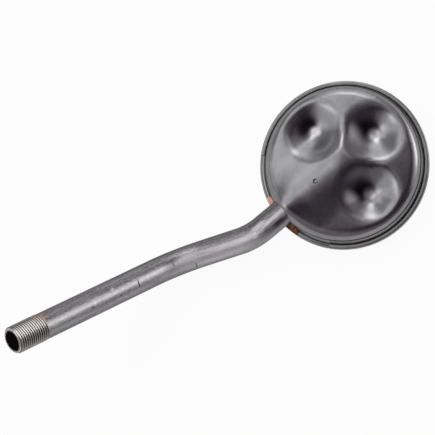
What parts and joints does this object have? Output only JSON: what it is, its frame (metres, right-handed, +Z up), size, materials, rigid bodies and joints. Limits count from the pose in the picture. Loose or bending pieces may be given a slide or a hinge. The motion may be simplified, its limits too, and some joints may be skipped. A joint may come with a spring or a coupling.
{
  "type": "oil pickup tube",
  "caption": "Bent steel oil pickup tube with a threaded end, brazed into a round strainer housing of dimpled sheet steel with a wire screen across its open underside.",
  "frame": {"origin": "on the floor under the middle of the part's bounding box, with the part lying at rest on the rim of its strainer and on the underside of the tube's first bend", "axes": "+X from the strainer towards the threaded end, +Y across the tube, +Z up, which is about six degrees off the strainer's own axis"},
  "size_m": [0.2716, 0.103, 0.0909],
  "materials": {
    "tube_steel": "satin drawn steel with a light film of oil",
    "shell_steel": "dark pressed steel with an oily sheen",
    "ring_steel": "dark folded sheet steel",
    "wire_steel": "woven steel wire",
    "braze": "dull copper filler metal"
  },
  "bodies": {
    "root": {"pickup_tube": "tube_steel", "housing_shell": "shell_steel", "retaining_ring": "ring_steel", "wire_screen": "wire_steel", "braze_fillet": "braze"}
  },
  "joints": []
}
